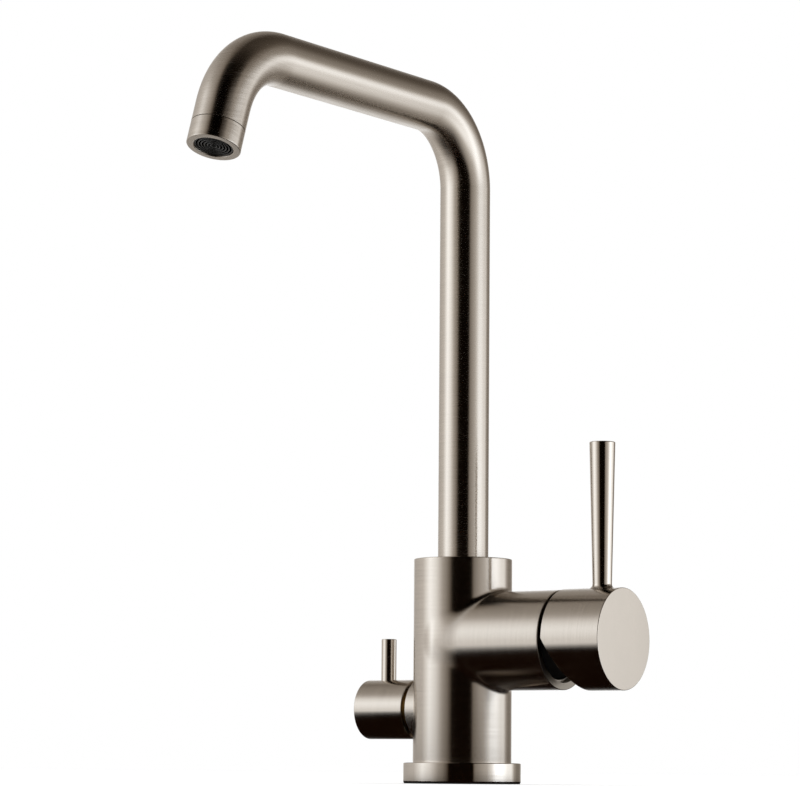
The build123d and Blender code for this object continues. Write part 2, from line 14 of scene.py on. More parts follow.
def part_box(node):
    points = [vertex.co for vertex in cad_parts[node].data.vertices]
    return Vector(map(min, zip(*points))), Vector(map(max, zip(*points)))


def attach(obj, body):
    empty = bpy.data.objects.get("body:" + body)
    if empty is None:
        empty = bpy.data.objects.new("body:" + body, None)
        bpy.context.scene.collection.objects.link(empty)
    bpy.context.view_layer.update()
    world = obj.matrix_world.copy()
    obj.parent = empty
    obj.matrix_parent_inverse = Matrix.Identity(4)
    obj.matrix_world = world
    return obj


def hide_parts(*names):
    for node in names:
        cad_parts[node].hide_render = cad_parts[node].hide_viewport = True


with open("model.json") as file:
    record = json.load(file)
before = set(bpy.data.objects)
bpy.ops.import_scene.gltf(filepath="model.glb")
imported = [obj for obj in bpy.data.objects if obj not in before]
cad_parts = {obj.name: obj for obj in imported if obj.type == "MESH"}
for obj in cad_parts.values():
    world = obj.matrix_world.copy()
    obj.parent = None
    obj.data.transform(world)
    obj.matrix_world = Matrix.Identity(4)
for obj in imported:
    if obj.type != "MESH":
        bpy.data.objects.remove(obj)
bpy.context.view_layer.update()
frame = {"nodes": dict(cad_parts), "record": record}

MM = 0.001

# %% [markdown]
# The camera comes next, because every later choice is seen through it. The eye is only
# 6 mm above the worktop and looks up a little, as a product shot of a tall tap does, so the
# whole underside of the spout shows. A long lens keeps the column's sides nearly parallel.

# %% Camera
PICTURE_WIDTH = 800
FOCAL_IN_PIXELS = 3285.7
SENSOR = 36.0
eye = Vector((893.0, -1358.3, 5.9)) * MM
turn, lift, roll = 0.6012, 0.1125, 0.0079

camera_data = bpy.data.cameras.new("camera")
camera_data.sensor_width = SENSOR
camera_data.lens = FOCAL_IN_PIXELS / PICTURE_WIDTH * SENSOR
camera = bpy.data.objects.new("camera", camera_data)
camera.matrix_world = (
    Matrix.Translation(eye)
    @ Matrix.Rotation(turn, 4, "Z")
    @ Matrix.Rotation(math.pi / 2 + lift, 4, "X")
    @ Matrix.Rotation(roll, 4, "Z")
)
bpy.context.scene.collection.objects.link(camera)
bpy.context.scene.camera = camera
bpy.context.scene.view_settings.view_transform = "Standard"
print("lens", round(camera_data.lens, 1), "mm")

# %% [markdown]
# A material is a graph of nodes. One small function adds a node with its settings and feeds
# its inputs, so that a finish reads as a short list. Colours are written as sRGB hex, the way
# a colour chart gives them, and turned to the linear values that a renderer adds up.

# %% Helpers for materials


def linear(hex_colour):
    """An sRGB hex colour as linear red, green, blue and alpha."""
    channels = [int(hex_colour[i : i + 2], 16) / 255 for i in (1, 3, 5)]
    low = [c / 12.92 if c <= 0.04045 else ((c + 0.055) / 1.055) ** 2.4 for c in channels]
    return (*low, 1.0)


def feed(tree, node, inputs):
    """Give a node its inputs: values, outputs, or nodes, which stand for their first output."""
    for name, value in inputs.items():
        if isinstance(value, bpy.types.Node):
            value = value.outputs[0]
        if isinstance(value, bpy.types.NodeSocket):
            tree.links.new(value, node.inputs[name])
        else:
            node.inputs[name].default_value = value


def add_node(tree, kind, settings=None, inputs=None):
    node = tree.nodes.new(kind)
    for name, value in (settings or {}).items():
        setattr(node, name, value)
    feed(tree, node, inputs or {})
    return node


def new_material(name):
    """A material that ends in a plain shader, with its tree and the shader to feed."""
    material = bpy.data.materials.new(name)
    material.use_nodes = True
    tree = material.node_tree
    tree.nodes.clear()
    shader = add_node(tree, "ShaderNodeBsdfPrincipled")
    add_node(tree, "ShaderNodeOutputMaterial", inputs={"Surface": shader})
    return material, tree, shader


def dress(piece, material):
    piece.data.materials.clear()
    piece.data.materials.append(material)


print("middle grey in linear light", round(linear("#808080")[0], 3))

# %% [markdown]
# Satin nickel is bright nickel plate that is brushed with a fine abrasive belt while the part
# turns. The scratches run round the part, so they show as faint rings, and they spread
# a reflection along the part's length. A photograph of scratches would repeat; stretched
# noise doesn't, so the rings are noise squeezed along the axis that the part turned about.
# Real scratches are a few hundredths of a millimetre apart. They are drawn about ten times as
# coarse here, because finer ones would vanish in the picture. The finest scratches can't be
# drawn at all, but they are what stretches a reflection along the part. Anisotropy does that:
# the shader is told which way the part runs, and blurs far more that way than round it.

# %% Brushed satin nickel
FINE_SPACING = 0.7 * MM
BROAD_SPACING = 1.8 * MM
SCRATCH_LENGTH = 26 * MM
SCRATCH_DEPTH = 0.012 * MM
SCRATCH_STRENGTH = 0.35
BROAD_SHARE = 0.3
# Nearly all of the noise lies between these two values.
NOISE_LOW, NOISE_HIGH = 0.35, 0.65
ROUGHNESS_PLAY = 0.03
STRETCH = 0.9
NICKEL = "#CFC6BB"


def brush_lines(tree, place, axis):
    """Noise that is fine along an axis and slow across it, from 0 to 1."""
    fields = []
    for spacing in (FINE_SPACING, BROAD_SPACING):
        scale = [1 / spacing if name == axis else 1 / SCRATCH_LENGTH for name in "XYZ"]
        squeezed = add_node(tree, "ShaderNodeMapping", inputs={"Vector": place, "Scale": scale})
        scratches = {"Vector": squeezed, "Scale": 1.0, "Detail": 2.0, "Roughness": 0.6}
        fields.append(add_node(tree, "ShaderNodeTexNoise", inputs=scratches))
    fine, broad = fields
    return add_node(tree, "ShaderNodeMix", inputs={"Factor": BROAD_SHARE, "A": fine, "B": broad})


def follow_lines(tree, lines, low, high):
    """Let a value go from low to high with the brush lines."""
    span = {"From Min": NOISE_LOW, "From Max": NOISE_HIGH, "To Min": low, "To Max": high}
    return add_node(tree, "ShaderNodeMapRange", inputs={"Value": lines, **span})


def brushed_nickel(name, make_lines, make_run, roughness, depth=1.0, contrast=0.12):
    """Satin nickel. Its brush lines and the way that the part runs both come from the place."""
    material, tree, shader = new_material(name)
    place = add_node(tree, "ShaderNodeTexCoord").outputs["Object"]
    lines = make_lines(tree, place)
    run = add_node(
        tree,
        "ShaderNodeVectorTransform",
        {"vector_type": "VECTOR", "convert_from": "OBJECT", "convert_to": "WORLD"},
        {"Vector": make_run(tree, place)},
    )
    tone = follow_lines(tree, lines, 1 - contrast, 1.0)
    colour = add_node(
        tree, "ShaderNodeVectorMath", {"operation": "SCALE"}, {0: linear(NICKEL)[:3], "Scale": tone}
    )
    satin = follow_lines(tree, lines, roughness - ROUGHNESS_PLAY, roughness + ROUGHNESS_PLAY)
    scratches = {"Height": lines, "Strength": SCRATCH_STRENGTH * depth, "Distance": SCRATCH_DEPTH}
    bump = add_node(tree, "ShaderNodeBump", inputs=scratches)
    feed(tree, shader, {"Base Color": colour, "Metallic": 1.0, "Roughness": satin})
    feed(tree, shader, {"Normal": bump, "Anisotropic": STRETCH, "Tangent": run})
    return material


def round_z(tree, place):
    return brush_lines(tree, place, "Z")


def round_x(tree, place):
    return brush_lines(tree, place, "X")


def steady(direction):
    """For a part that runs the same way all along."""
    return lambda tree, place: add_node(
        tree, "ShaderNodeCombineXYZ", inputs=dict(zip("XYZ", direction))
    )


# Each leans a little off its axis, so that a flat end has a direction too.
up_the_column = steady((0.05, 0.03, 1.0))
along_the_branch = steady((1.0, 0.02, 0.08))
column_nickel = brushed_nickel("nickel_brushed_round_the_column", round_z, up_the_column, roughness=0.2)
branch_nickel = brushed_nickel(
    "nickel_brushed_round_the_branch", round_x, along_the_branch, roughness=0.22
)
print("lines drawn", FINE_SPACING / MM, "mm apart")

# %% [markdown]
# The other pieces keep their CAD shape and get the finish of what they are made of. Most of
# them sit inside, and show only through the gaps behind the knobs and up the outlet.

# %% Plain finishes
GRAIN_DEPTH = 0.02 * MM
GRAIN_STRENGTH = 0.2


def grained(name, hex_colour, grain_mm, roughness, metallic=0.0, ior=None, variation=0.06):
    """A moulded, pressed or machined surface: one colour, with fine uneven gloss."""
    material, tree, shader = new_material(name)
    place = add_node(tree, "ShaderNodeTexCoord").outputs["Object"]
    spots = {"Vector": place, "Scale": 1 / (grain_mm * MM), "Detail": 3.0}
    grain = add_node(tree, "ShaderNodeTexNoise", inputs=spots)
    span = {"To Min": roughness - variation, "To Max": roughness + variation}
    gloss = add_node(tree, "ShaderNodeMapRange", inputs={"Value": grain, **span})
    pits = {"Height": grain, "Strength": GRAIN_STRENGTH, "Distance": GRAIN_DEPTH}
    bump = add_node(tree, "ShaderNodeBump", inputs=pits)
    feed(tree, shader, {"Base Color": linear(hex_colour), "Metallic": metallic})
    feed(tree, shader, {"Roughness": gloss, "Normal": bump})
    if ior:
        feed(tree, shader, {"IOR": ior})
    return material


# Machined brass: yellow, with a dull tool-marked gloss.
machined_brass = grained("machined_brass", "#C4A468", 0.8, 0.42, metallic=1.0)
# EPDM rubber: black and nearly without gloss.
epdm_rubber = grained("moulded_epdm_rubber", "#141414", 0.5, 0.75, ior=1.52)
# Acetal: black, smooth and a little waxy.
black_acetal = grained("moulded_black_acetal", "#131211", 0.6, 0.3, ior=1.48)
# Glass-filled nylon: off-white and matt.
white_nylon = grained("moulded_white_nylon", "#E6E3DA", 0.7, 0.55, ior=1.53)
# Alumina lapped flat: ivory and almost polished.
lapped_alumina = grained("lapped_alumina", "#EFEBE0", 0.9, 0.14, ior=1.76)
# Stainless steel as it comes from the lathe.
turned_stainless = grained("turned_stainless_steel", "#B9B8B6", 0.6, 0.28, metallic=1.0)
# Nickel plate that no belt has reached, a little dull. Its darker colour is painted shade, for faces
# that lie in the knob's shade.
plate_with_painted_shade = grained("nickel_plate_painted_shade", "#8F877C", 0.7, 0.32, metallic=1.0, variation=0.02)

FINISHES = {
    "satin_steel": column_nickel,
    "brass": machined_brass,
    "black_rubber": epdm_rubber,
    "black_plastic": black_acetal,
    "white_plastic": white_nylon,
    "ceramic": lapped_alumina,
    "plain_steel": turned_stainless,
}
slot_of = {part["node"]: part["material_slot"] for part in frame["record"]["subparts"]}
for node, piece in frame["nodes"].items():
    dress(piece, FINISHES[slot_of[node]])
# The cartridge nut in the gap behind the knob gets the darker plate: painted shade for the dark gap.
dress(frame["nodes"]["cartridge_nut"], plate_with_painted_shade)
print("dressed", len(slot_of), "CAD nodes")

# %% [markdown]
# Metal this smooth is a mirror of the studio, and a faceted cylinder would show each facet
# in it. So every turned piece that shows is made again with many more steps, the way a lathe
# makes it: a short outline is spun once round its axis. The bevel runs on the outline's
# corners before the spin, which rounds the real edges and costs only a few points.

# %% Helpers for turned pieces
STEPS = 256
CORNER_STEPS = 4
# Faces that meet at more than this keep a sharp edge between them.
SHARP_ANGLE = math.radians(32)
# Points nearer to each other than this, in millimetres, are welded.
WELD = 1e-4


def outline_mesh(corners, rounding, closed):
    """A wire of (radius, height) corners in millimetres, with some of its corners rounded."""
    wire = bmesh.new()
    points = [wire.verts.new((radius, 0, height)) for radius, height in corners]
    pairs = zip(points, points[1:] + points[:1]) if closed else zip(points, points[1:])
    for start, end in pairs:
        wire.edges.new((start, end))
    for index, radius in rounding.items():
        bmesh.ops.bevel(
            wire,
            geom=[points[index]],
            offset=radius,
            offset_type="OFFSET",
            segments=CORNER_STEPS,
            profile=0.5,
            affect="VERTICES",
            material=-1,
        )
    return wire


def spin_once(wire, steps=STEPS):
    """Turn the wire once round Z and close the seam and the pole."""
    bmesh.ops.spin(
        wire,
        geom=wire.verts[:] + wire.edges[:],
        cent=(0, 0, 0),
        axis=(0, 0, 1),
        angle=2 * math.pi,
        steps=steps,
        use_merge=True,
    )
    bmesh.ops.remove_doubles(wire, verts=wire.verts[:], dist=WELD)
    bmesh.ops.recalc_face_normals(wire, faces=wire.faces[:])
    return wire


def as_object(shape, name):
    mesh = bpy.data.meshes.new(name)
    shape.to_mesh(mesh)
    shape.free()
    made = bpy.data.objects.new(name, mesh)
    bpy.context.scene.collection.objects.link(made)
    return made


def finish_piece(name, shape, body, nodes, material):
    """Turn a shape in millimetres into a piece that rides a body and stands for nodes."""
    bmesh.ops.scale(shape, vec=(MM, MM, MM), verts=shape.verts[:])
    piece = as_object(shape, name)
    mesh = piece.data
    for polygon in mesh.polygons:
        polygon.use_smooth = True
    mesh.set_sharp_from_angle(angle=SHARP_ANGLE)
    weighted = piece.modifiers.new("flat_faces_lead", "WEIGHTED_NORMAL")
    weighted.keep_sharp = True
    dress(piece, material)
    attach(piece, body)
    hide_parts(*nodes)
    low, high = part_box(nodes[0])
    size = [round((b - a) / MM, 1) for a, b in zip(low, high)]
    print(name, len(mesh.polygons), "faces,", size, "mm")
    return piece


def mm_box(node):
    """A CAD node's lowest and highest corners, in millimetres."""
    low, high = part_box(node)
    return low / MM, high / MM


def lay_along_x(shape, height, towards=1):
    """Lay a shape made round Z along +X or -X, at a height."""
    turn_over = Matrix.Rotation(towards * math.pi / 2, 4, "Y")
    lift_up = Matrix.Translation((0, 0, height))
    bmesh.ops.transform(shape, matrix=lift_up @ turn_over, verts=shape.verts[:])


print("steps round a turned piece", STEPS)

# %% [markdown]
# The base ring covers the edge of the hole in the worktop. It is turned from bar and nearly
# polished, and its rims are rounded by about half a millimetre, so each shows as a thin line
# of light.

# %% Base ring
TOP_RIM, FOOT_RIM = 0.45, 0.6
RING_BORE = 20.2

low, high = mm_box("base_ring")
corners = [(RING_BORE, low.z), (high.x, low.z), (high.x, high.z), (RING_BORE, high.z)]
shape = spin_once(outline_mesh(corners, {1: FOOT_RIM, 2: TOP_RIM}, closed=True))
ring_nickel = brushed_nickel(
    "nickel_turned_base_ring", round_z, up_the_column, roughness=0.09, depth=0.5
)
finish_piece("base_ring_turned", shape, "root", ["base_ring"], ring_nickel)

# %% [markdown]
# The body is one casting: an upright column, a branch of nearly the same width, and a short
# stub for the small valve. Two pipes of one width meet in a mitre, so the skin is laid out as
# a tailor would: one sleeve above the mitre, one below it and one along the branch, each
# spun as a plain tube and then drawn to its seam. A fillet runs all along the mitre, small
# where the pipes meet squarely above and below, and a little wider at the sides. So each
# point is drawn onto one smooth surface that follows both pipes and fills the seam.

# %% Body casting, outer skin
COLUMN_TOP = mm_box("body_casting")[1].z
COLUMN_RADIUS = mm_box("body_casting")[1].y
BRANCH_RADIUS = COLUMN_RADIUS - 0.1
BRANCH_HEIGHT = 69.6
BRANCH_END = 58.3
FOOT_RADIUS, FOOT_TOP = 20.0, 10.2
RIM_EDGE = 0.4
SIDES = 192
UPPER_ROWS, LOWER_ROWS, BRANCH_ROWS = 40, 48, 44
# Rows of points stand closer together near the mitre, by this power.
CROWDING = 1.5
# Width of the fillet, and how slowly the branch's part in it fades behind the column's axis.
CORNER_WIDTH, SIDE_WIDTH, BACK_FADE = 2.6, 3.0, 16.0
BLEND_PASSES = 6
# The sleeves' points on the mitre are this near to each other, in millimetres.
MITRE_WELD = 1e-3
branch_centre = Vector((0, 0, BRANCH_HEIGHT))


def unit_sleeve(rows):
    """A tube of radius 1 and height 1 with its rows closer together near the bottom."""
    wire = bmesh.new()
    points = [wire.verts.new((1, 0, (row / rows) ** CROWDING)) for row in range(rows + 1)]
    for start, end in zip(points, points[1:]):
        wire.edges.new((start, end))
    return spin_once(wire, SIDES)


def upper_line(side):
    """Where a sleeve stands on one side, the height of its seam and of its other end."""
    seam = BRANCH_HEIGHT + BRANCH_RADIUS * max(0, side.x)
    return side * BRANCH_RADIUS, seam, COLUMN_TOP - RIM_EDGE


def lower_line(side):
    seam = BRANCH_HEIGHT - BRANCH_RADIUS * max(0, side.x)
    return side * BRANCH_RADIUS, seam, FOOT_TOP


def draw_sleeve(line, rows):
    shape = unit_sleeve(rows)
    for vert in shape.verts:
        side = Vector((vert.co.x, vert.co.y, 0))
        foot, seam, end = line(side)
        vert.co = foot + Vector((0, 0, seam + vert.co.z * (end - seam)))
    return shape


def branch_sleeve(rows):
    shape = unit_sleeve(rows)
    for vert in shape.verts:
        rise, side = vert.co.x * BRANCH_RADIUS, vert.co.y * BRANCH_RADIUS
        seam, end = abs(rise), BRANCH_END - RIM_EDGE
        vert.co = Vector((seam + vert.co.z * (end - seam), side, BRANCH_HEIGHT + rise))
    return shape


def add_shape(shape, other):
    mesh = bpy.data.meshes.new("part")
    other.to_mesh(mesh)
    other.free()
    shape.from_mesh(mesh)
    bpy.data.meshes.remove(mesh)


def column_and_branch(point):
    """How far a point is outside each pipe, and which way is out of each."""
    out_of_column = Vector((point.x, point.y, 0))
    out_of_branch = Vector((0, point.y, point.z - BRANCH_HEIGHT))
    column = out_of_column.length - COLUMN_RADIUS
    branch = out_of_branch.length - BRANCH_RADIUS + min(0, point.x) ** 2 / BACK_FADE
    return column, branch, out_of_column.normalized(), out_of_branch.normalized()


def to_the_blend(point):
    """Draw a point onto the skin of both pipes, filled in where they meet."""
    for _ in range(BLEND_PASSES):
        column, branch, column_out, branch_out = column_and_branch(point)
        square = column_out.cross(branch_out).length
        reach = SIDE_WIDTH + (CORNER_WIDTH - SIDE_WIDTH) * square**2
        share = min(1.0, max(0.0, 0.5 + 0.5 * (branch - column) / reach))
        gap = branch + (column - branch) * share - reach * share * (1 - share)
        out = (column_out * share + branch_out * (1 - share)).normalized()
        point = point - out * gap
    return point


casting = draw_sleeve(upper_line, UPPER_ROWS)
add_shape(casting, draw_sleeve(lower_line, LOWER_ROWS))
add_shape(casting, branch_sleeve(BRANCH_ROWS))
bmesh.ops.remove_doubles(casting, verts=casting.verts[:], dist=MITRE_WELD)
for vert in casting.verts:
    vert.co = to_the_blend(vert.co)
print("outer skin", len(casting.faces), "faces")

# %% [markdown]
# The skin becomes a closed casting. Each open rim is extruded on through the corners that
# the real part has there: the polished edge, the flat, the bore and its floor.

# %% Body casting, bores
BORE_FLOOR, SPOUT_BORE, GLIDE_BORE, GLIDE_DEPTH = 73.3, 12.6, 14.56, 6.0
CHAMBER_RADIUS, CHAMBER_FLOOR = 20.7, 20.5
branch_place = Matrix.Translation(branch_centre) @ Matrix.Rotation(math.pi / 2, 4, "Y")


def push(shape, rim, offset):
    """Extrude an open rim of edges along a straight run and return the new rim."""
    made = bmesh.ops.extrude_edge_only(shape, edges=rim)["geom"]
    corners = [g for g in made if isinstance(g, bmesh.types.BMVert)]
    bmesh.ops.translate(shape, vec=offset, verts=corners)
    return [g for g in made if isinstance(g, bmesh.types.BMEdge) and g.is_boundary]


def run_in(shape, rim, corners, place):
    """Carry a round rim through (radius, height) corners about an axis, and close it."""
    back = place.inverted()
    for radius, height in corners:
        rim = push(shape, rim, (0, 0, 0))
        for vert in {vert for edge in rim for vert in edge.verts}:
            local = back @ vert.co
            share = radius / math.hypot(local.x, local.y)
            vert.co = place @ Vector((local.x * share, local.y * share, height))
    bmesh.ops.edgeloop_fill(shape, edges=rim)


def rim_near(shape, test):
    return [edge for edge in shape.edges if edge.is_boundary and all(test(v.co) for v in edge.verts)]


def broken_edge(radius, height):
    """The corners of a small round on an outer rim, a third of a right angle apart."""
    turns = [math.radians(90 * step / 3) for step in (1, 2, 3)]
    return [
        (radius - RIM_EDGE * (1 - math.cos(turn)), height - RIM_EDGE * (1 - math.sin(turn)))
        for turn in turns
    ]


# Within a millimetre of each end there are no other open edges.
top_rim = rim_near(casting, lambda co: co.z > COLUMN_TOP - 1)
foot_rim = rim_near(casting, lambda co: co.z < FOOT_TOP + 1)
mouth_rim = rim_near(casting, lambda co: co.x > BRANCH_END - 1)
spout_bore = [
    (GLIDE_BORE, COLUMN_TOP),
    (GLIDE_BORE, COLUMN_TOP - GLIDE_DEPTH),
    (SPOUT_BORE, COLUMN_TOP - GLIDE_DEPTH),
    (SPOUT_BORE, BORE_FLOOR),
]
chamber = [(CHAMBER_RADIUS, BRANCH_END), (CHAMBER_RADIUS, CHAMBER_FLOOR)]
foot = [(FOOT_RADIUS, FOOT_TOP), (FOOT_RADIUS, 0)]
run_in(casting, top_rim, broken_edge(COLUMN_RADIUS, COLUMN_TOP) + spout_bore, Matrix.Identity(4))
run_in(casting, mouth_rim, broken_edge(BRANCH_RADIUS, BRANCH_END) + chamber, branch_place)
run_in(casting, foot_rim, foot, Matrix.Identity(4))
bmesh.ops.recalc_face_normals(casting, faces=casting.faces[:])
print("closed casting", len(casting.faces), "faces")

# %% [markdown]
# The valve's stub is joined on and the holes are drilled with the Boolean modifier: the bore
# for the valve, the stop screw's hole in the back and the four sockets in the underside.

# %% Body casting, stub and drilled holes
STUB_HEIGHT, STUB_RADIUS, STUB_END, STUB_EDGE = 36.5, 14.7, 24.6, 0.3
VALVE_BORE, VALVE_FLOOR = 10.55, 9.0
STOP_HEIGHT, STOP_RADIUS = 91.5, 2.55
SOCKET_CIRCLE, HOSE_RADIUS, STUD_RADIUS = 20.0, 4.46, 3.32
# How far round each socket is, in degrees, with its radius and depth.
SOCKETS = [(135, STUD_RADIUS, 16), (-45, HOSE_RADIUS, 12), (45, HOSE_RADIUS, 13), (225, HOSE_RADIUS, 14)]


def turned_tool(corners, rounding, place, steps=128):
    shape = spin_once(outline_mesh(corners, rounding, closed=False), steps)
    bmesh.ops.transform(shape, matrix=place, verts=shape.verts[:])
    return shape


def rod_tool(radius, low, high, place, steps):
    return turned_tool([(0, low), (radius, low), (radius, high), (0, high)], {}, place, steps)


def boolean(shape, jobs):
    """Join or cut a closed shape with tools, and give back the shape that is left."""
    piece = as_object(shape, "workpiece")
    tools = []
    for operation, tool in jobs:
        tools.append(as_object(tool, "tool"))
        step = piece.modifiers.new(operation, "BOOLEAN")
        step.operation, step.object, step.solver = operation, tools[-1], "EXACT"
    result = bmesh.new()
    graph = bpy.context.evaluated_depsgraph_get()
    mesh = bpy.data.meshes.new_from_object(piece.evaluated_get(graph))
    result.from_mesh(mesh)
    bpy.data.meshes.remove(mesh)
    for left in [piece, *tools]:
        bpy.data.objects.remove(left)
    return result


stub_place = Matrix.Translation((0, 0, STUB_HEIGHT)) @ Matrix.Rotation(-math.pi / 2, 4, "Y")
stop_place = Matrix.Translation((0, 0, STOP_HEIGHT)) @ Matrix.Rotation(-math.pi / 2, 4, "X")
stub_root = VALVE_FLOOR - 3
stub = [(0, stub_root), (STUB_RADIUS, stub_root), (STUB_RADIUS, STUB_END), (0, STUB_END)]
jobs = [
    ("UNION", turned_tool(stub, {2: STUB_EDGE}, stub_place)),
    ("DIFFERENCE", rod_tool(VALVE_BORE, VALVE_FLOOR, STUB_END + 1, stub_place, 96)),
    ("DIFFERENCE", rod_tool(STOP_RADIUS, SPOUT_BORE - 2, COLUMN_RADIUS + 1, stop_place, 48)),
]
for degrees, radius, depth in SOCKETS:
    turned = Matrix.Rotation(math.radians(degrees), 4, "Z")
    socket = turned @ Matrix.Translation((SOCKET_CIRCLE / 2, 0, 0))
    jobs.append(("DIFFERENCE", rod_tool(radius, -1, depth, socket, 48)))
casting = boolean(casting, jobs)
print("drilled casting", len(casting.faces), "faces")

# %% [markdown]
# The belt goes round the column, and on the branch it goes round the branch. Across the mitre
# one brushing fades into the other. The face and the bore of the branch's mouth lie under the
# knob and are never brushed, and their darker plate is painted shade for the knob's shade.

# %% Body casting, brushing
# How far past the mitre the change begins and ends.
CHANGE_START, CHANGE_END = -4 * MM, 6 * MM
# A small sideways share, so that flat ends have a direction too.
SIDEWAYS = 0.03
# Only what lies this far inside the branch's outer edge, in millimetres, is left unbrushed and painted
# darker as shade.
MOUTH_MARGIN = 0.3


def past_the_mitre(tree, place):
    """From 0 on the column to 1 on the branch, changing softly across the mitre."""
    parts = add_node(tree, "ShaderNodeSeparateXYZ", inputs={"Vector": place}).outputs
    rise = add_node(
        tree, "ShaderNodeMath", {"operation": "SUBTRACT"}, {0: parts["Z"], 1: BRANCH_HEIGHT * MM}
    )
    off_axis = add_node(tree, "ShaderNodeMath", {"operation": "ABSOLUTE"}, {0: rise})
    beyond = add_node(tree, "ShaderNodeMath", {"operation": "SUBTRACT"}, {0: parts["X"], 1: off_axis})
    span = {"From Min": CHANGE_START, "From Max": CHANGE_END}
    return add_node(tree, "ShaderNodeMapRange", inputs={"Value": beyond, **span})


def casting_lines(tree, place):
    """Brushed round the column, and beyond the mitre round the branch."""
    share = past_the_mitre(tree, place)
    lines = {"A": round_z(tree, place), "B": round_x(tree, place)}
    return add_node(tree, "ShaderNodeMix", inputs={"Factor": share, **lines})


def casting_run(tree, place):
    """Up the column, and beyond the mitre along the branch."""
    share = past_the_mitre(tree, place)
    rest = add_node(tree, "ShaderNodeMath", {"operation": "SUBTRACT"}, {0: 1.0, 1: share})
    return add_node(tree, "ShaderNodeCombineXYZ", inputs={"X": share, "Y": SIDEWAYS, "Z": rest})


casting_nickel = brushed_nickel(
    "nickel_brushed_casting", casting_lines, casting_run, roughness=0.24, contrast=0.11
)
body = finish_piece(
    "body_casting_polished", casting, "root", ["body_casting"], casting_nickel
)
# The mouth's face and bore get the darker plate: painted shade where the knob shades them.
body.data.materials.append(plate_with_painted_shade)
for face in body.data.polygons:
    middle = face.center / MM
    off_axis = math.hypot(middle.y, middle.z - BRANCH_HEIGHT)
    if middle.x > BRANCH_END / 2 and off_axis < BRANCH_RADIUS - MOUTH_MARGIN:
        face.material_index = 1

# %% [markdown]
# The spout is a drawn tube, 25 mm across with a 1.5 mm wall, bent twice in one plane. A circle
# pushed along its route gives it: extrude for the straight runs, spin for the bends.

# %% Spout tube
TUBE_RADIUS, TUBE_WALL, TUBE_SIDES = 12.5, 1.5, 128
RISING_BEND, OUTLET_BEND, OUTLET_ANGLE = 37.2, 41.8, math.radians(71.5)
BEND_STEPS = 48
REACH, OUTLET_LENGTH, COLLAR_LENGTH, COLLAR_SEAM = 206.3, 21.2, 10.2, 0.25
# A small sideways share, next to the 40 mm or so that the direction's other shares have.
TUBE_LEAN = 0.5 * MM

tube_low, tube_high = mm_box("spout_tube")
arm_height = tube_high.z - TUBE_RADIUS
bend_tangent = OUTLET_BEND * math.tan(OUTLET_ANGLE / 2)
outlet_run = bend_tangent + OUTLET_LENGTH
corner_y = -(REACH - outlet_run * math.cos(OUTLET_ANGLE))
bend_end_y = corner_y + bend_tangent


def swing(shape, rim, centre, angle):
    """Spin an open rim of edges round an axis along X and return the new rim."""
    about = {"cent": centre, "axis": (1, 0, 0), "angle": angle}
    made = bmesh.ops.spin(shape, geom=rim, steps=BEND_STEPS, use_merge=False, **about)
    return [g for g in made["geom_last"] if isinstance(g, bmesh.types.BMEdge)]


def route(shape, rim):
    """Carry a rim up the column, over the arm and down to the collar's seam."""
    rise = arm_height - RISING_BEND - tube_low.z
    rim = push(shape, rim, (0, 0, rise))
    rim = swing(shape, rim, (0, -RISING_BEND, arm_height - RISING_BEND), math.pi / 2)
    rim = push(shape, rim, (0, bend_end_y + RISING_BEND, 0))
    rim = swing(shape, rim, (0, bend_end_y, arm_height - OUTLET_BEND), OUTLET_ANGLE)
    down = OUTLET_LENGTH - COLLAR_LENGTH - COLLAR_SEAM
    return push(shape, rim, (0, -down * math.cos(OUTLET_ANGLE), -down * math.sin(OUTLET_ANGLE)))


shape = bmesh.new()
ends = []
tube_foot = Matrix.Translation((0, 0, tube_low.z))
for radius in (TUBE_RADIUS, TUBE_RADIUS - TUBE_WALL):
    ring = bmesh.ops.create_circle(shape, radius=radius, segments=TUBE_SIDES, matrix=tube_foot)
    rim = list({edge for vert in ring["verts"] for edge in vert.link_edges})
    ends.append((rim, route(shape, rim)))
for outer, inner in zip(*ends):
    bmesh.ops.bridge_loops(shape, edges=outer + inner)
bmesh.ops.recalc_face_normals(shape, faces=shape.faces[:])


def along_the_tube(tree, place):
    """Up the rise, over the arm and down again, square to a line from each bend's middle."""
    parts = add_node(tree, "ShaderNodeSeparateXYZ", inputs={"Vector": place}).outputs
    bends = [
        ("Y", "MAXIMUM", -RISING_BEND),
        ("Y", "MINIMUM", bend_end_y),
        ("Z", "MAXIMUM", arm_height - RISING_BEND),
    ]
    offsets = []
    for side, limit, middle in bends:
        from_middle = add_node(
            tree, "ShaderNodeMath", {"operation": "SUBTRACT"}, {0: parts[side], 1: middle * MM}
        )
        offsets.append(add_node(tree, "ShaderNodeMath", {"operation": limit}, {0: from_middle, 1: 0.0}))
    rising, falling, over = offsets
    upward = add_node(tree, "ShaderNodeMath", {"operation": "ADD"}, {0: rising, 1: falling})
    forward = add_node(tree, "ShaderNodeMath", {"operation": "MULTIPLY"}, {0: over, 1: -1.0})
    return add_node(tree, "ShaderNodeCombineXYZ", inputs={"X": TUBE_LEAN, "Y": forward, "Z": upward})


tube_nickel = brushed_nickel(
    "nickel_satin_on_the_drawn_tube", round_z, along_the_tube, roughness=0.26, depth=0.4, contrast=0.1
)
finish_piece("spout_tube_drawn", shape, "spout", ["spout_tube"], tube_nickel)

# %% [markdown]
# The aerator's collar is as wide as the tube and screws into it, so only a hairline seam
# shows. Its open end has a flat lip round the bore. It is turned about the outlet's own
# slanted axis, and so is its brushing.

# %% Outlet collar
COLLAR_BORE, THREAD_RADIUS, THREAD_LENGTH = 9.2, 10.9, 8.0
BORE_EDGE, LIP_EDGE, SEAM_EDGE = 0.3, 0.4, 0.15

